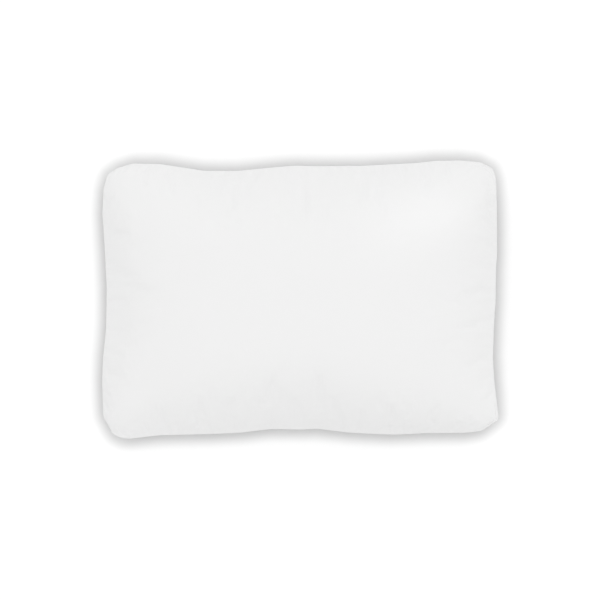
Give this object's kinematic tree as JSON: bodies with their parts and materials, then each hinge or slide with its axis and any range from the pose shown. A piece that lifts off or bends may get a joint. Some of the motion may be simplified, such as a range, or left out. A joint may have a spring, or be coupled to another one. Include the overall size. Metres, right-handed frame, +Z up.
{
  "type": "bed pillow",
  "caption": "Plump rectangular bed pillow lying flat: white zipped cotton cover over a sewn, fibre-filled inner pillow.",
  "frame": {"origin": "middle of the pillow's footprint, on the surface that it rests on", "axes": "+X along the long side, towards the zipped short end; +Y along the short side; +Z up, towards the sleeper's head"},
  "size_m": [0.6901, 0.4848, 0.1257],
  "materials": {
    "cover_cotton": "matte",
    "casing_cotton": "matte",
    "hollow_fibre": "matte",
    "thread": "satin",
    "zip_tape": "matte",
    "zip_nylon": "satin",
    "zip_metal": "satin",
    "label_satin": "satin"
  },
  "bodies": {
    "cover": {"cover_top_panel": "cover_cotton", "cover_bottom_panel": "cover_cotton", "cover_seam_thread": "thread", "cover_overlock_thread": "thread", "inner_top_panel": "casing_cotton", "inner_bottom_panel": "casing_cotton", "inner_seam_thread": "thread", "inner_closing_stitch": "thread", "fibre_fill": "hollow_fibre", "zip_tape_upper": "zip_tape", "zip_tape_lower": "zip_tape", "zip_coil_upper": "zip_nylon", "zip_coil_lower": "zip_nylon", "zip_top_stops": "zip_metal", "zip_bottom_stop": "zip_metal", "zip_topstitching": "thread", "zip_bar_tacks": "thread", "care_label": "label_satin"},
    "slider": {"zip_slider": "zip_metal"},
    "pull_tab": {"zip_pull_tab": "zip_metal"}
  },
  "joints": [
    {"name": "zip_slide", "type": "slide", "parent": "cover", "child": "slider", "axis": [0, -1, 0], "range_m": [0, 0.283]},
    {"name": "tab_hinge", "type": "hinge", "parent": "slider", "child": "pull_tab", "pos_m": [0.3207, 0.1415, 0.02], "axis": [0, 0, 1], "range_deg": [0, 170]}
  ]
}
